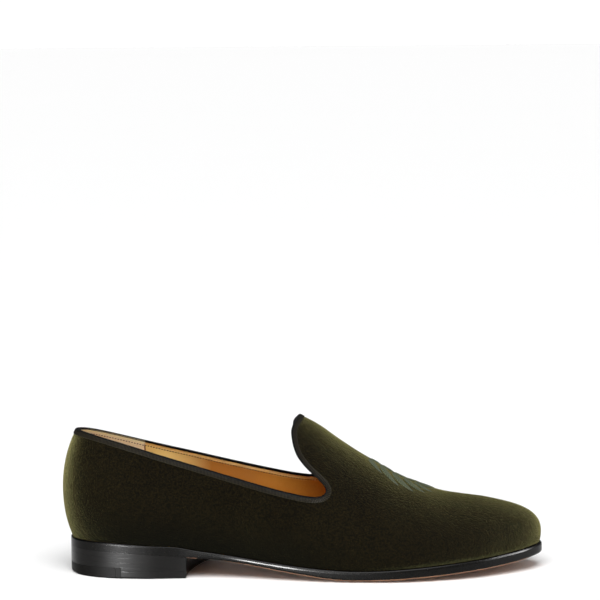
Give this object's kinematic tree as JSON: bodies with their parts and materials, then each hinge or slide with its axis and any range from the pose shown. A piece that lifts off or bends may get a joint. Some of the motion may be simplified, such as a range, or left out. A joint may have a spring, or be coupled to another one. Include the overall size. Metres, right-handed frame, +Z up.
{
  "type": "velvet slipper loafer",
  "caption": "Right slip-on velvet loafer with a standing tongue, ribbon-bound collar, leather sole and low stacked heel, standing empty.",
  "frame": {"origin": "middle of the shoe's box seen from above, on the floor under the sole", "axes": "+X from the heel to the toe, +Y to the inner (medial) side of the foot, +Z up"},
  "size_m": [0.3012, 0.096, 0.0986],
  "materials": {
    "velvet": "dark olive green cotton velvet with a soft nap, leather lined",
    "ribbon": "black ribbed ribbon with a low sheen",
    "sole_leather": "black, burnished edge",
    "sock_leather": "tan, smooth",
    "heel_leather": "black, burnished",
    "rubber": "matt black"
  },
  "bodies": {
    "root": {"upper": "velvet", "topline_binding": "ribbon", "insole": "sock_leather", "outsole": "sole_leather", "heel_lift_upper": "heel_leather", "heel_lift_middle": "heel_leather", "heel_lift_lower": "heel_leather", "top_piece_base": "heel_leather", "top_piece_leather": "heel_leather", "top_piece_rubber": "rubber"}
  },
  "joints": []
}
